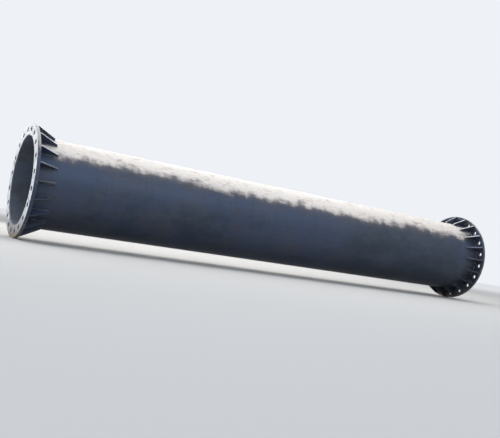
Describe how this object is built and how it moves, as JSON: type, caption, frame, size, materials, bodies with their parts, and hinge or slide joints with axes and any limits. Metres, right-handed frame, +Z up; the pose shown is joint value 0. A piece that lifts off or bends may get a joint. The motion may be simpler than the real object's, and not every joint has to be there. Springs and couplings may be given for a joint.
{
  "type": "flanged steel power pole section",
  "caption": "Round tubular steel power pole section lying on its side, rolled from plate with one long seam weld, with a gusseted bolting flange at each end.",
  "frame": {"origin": "centre of the base flange's outer face, on the pole's axis", "axes": "+X along the pole's axis from the base flange to the top flange, +Z up as the section lies on the ground, +Y level"},
  "size_m": [6, 1.1398, 1.1398],
  "materials": {
    "tube_steel": "dark mill scale with dull sheen, streaks of dirt and light rust",
    "flange_steel": "pale grey machined face, weathered, with worn bright edges and rust stains",
    "gusset_steel": "dark plate with bright cut edges and light rust",
    "weld_metal": "rippled weld metal, dull grey-brown"
  },
  "bodies": {
    "root": {"base_flange_upper": "flange_steel", "base_flange_lower": "flange_steel", "base_flange_welds": "weld_metal", "base_back_weld": "weld_metal", "base_bore_weld": "weld_metal", "base_gusset_01": "gusset_steel", "base_gusset_02": "gusset_steel", "base_gusset_03": "gusset_steel", "base_gusset_04": "gusset_steel", "base_gusset_05": "gusset_steel", "base_gusset_06": "gusset_steel", "base_gusset_07": "gusset_steel", "base_gusset_08": "gusset_steel", "base_gusset_09": "gusset_steel", "base_gusset_10": "gusset_steel", "base_gusset_11": "gusset_steel", "base_gusset_12": "gusset_steel", "base_gusset_13": "gusset_steel", "base_gusset_14": "gusset_steel", "base_gusset_15": "gusset_steel", "base_gusset_16": "gusset_steel", "base_gusset_17": "gusset_steel", "base_gusset_18": "gusset_steel", "base_gusset_19": "gusset_steel", "base_gusset_20": "gusset_steel", "top_flange_upper": "flange_steel", "top_flange_lower": "flange_steel", "top_flange_welds": "weld_metal", "top_back_weld": "weld_metal", "top_bore_weld": "weld_metal", "top_gusset_01": "gusset_steel", "top_gusset_02": "gusset_steel", "top_gusset_03": "gusset_steel", "top_gusset_04": "gusset_steel", "top_gusset_05": "gusset_steel", "top_gusset_06": "gusset_steel", "top_gusset_07": "gusset_steel", "top_gusset_08": "gusset_steel", "top_gusset_09": "gusset_steel", "top_gusset_10": "gusset_steel", "top_gusset_11": "gusset_steel", "top_gusset_12": "gusset_steel", "top_gusset_13": "gusset_steel", "top_gusset_14": "gusset_steel", "top_gusset_15": "gusset_steel", "top_gusset_16": "gusset_steel", "top_gusset_17": "gusset_steel", "top_gusset_18": "gusset_steel", "top_gusset_19": "gusset_steel", "top_gusset_20": "gusset_steel", "tube": "tube_steel", "seam_weld": "weld_metal"}
  },
  "joints": []
}
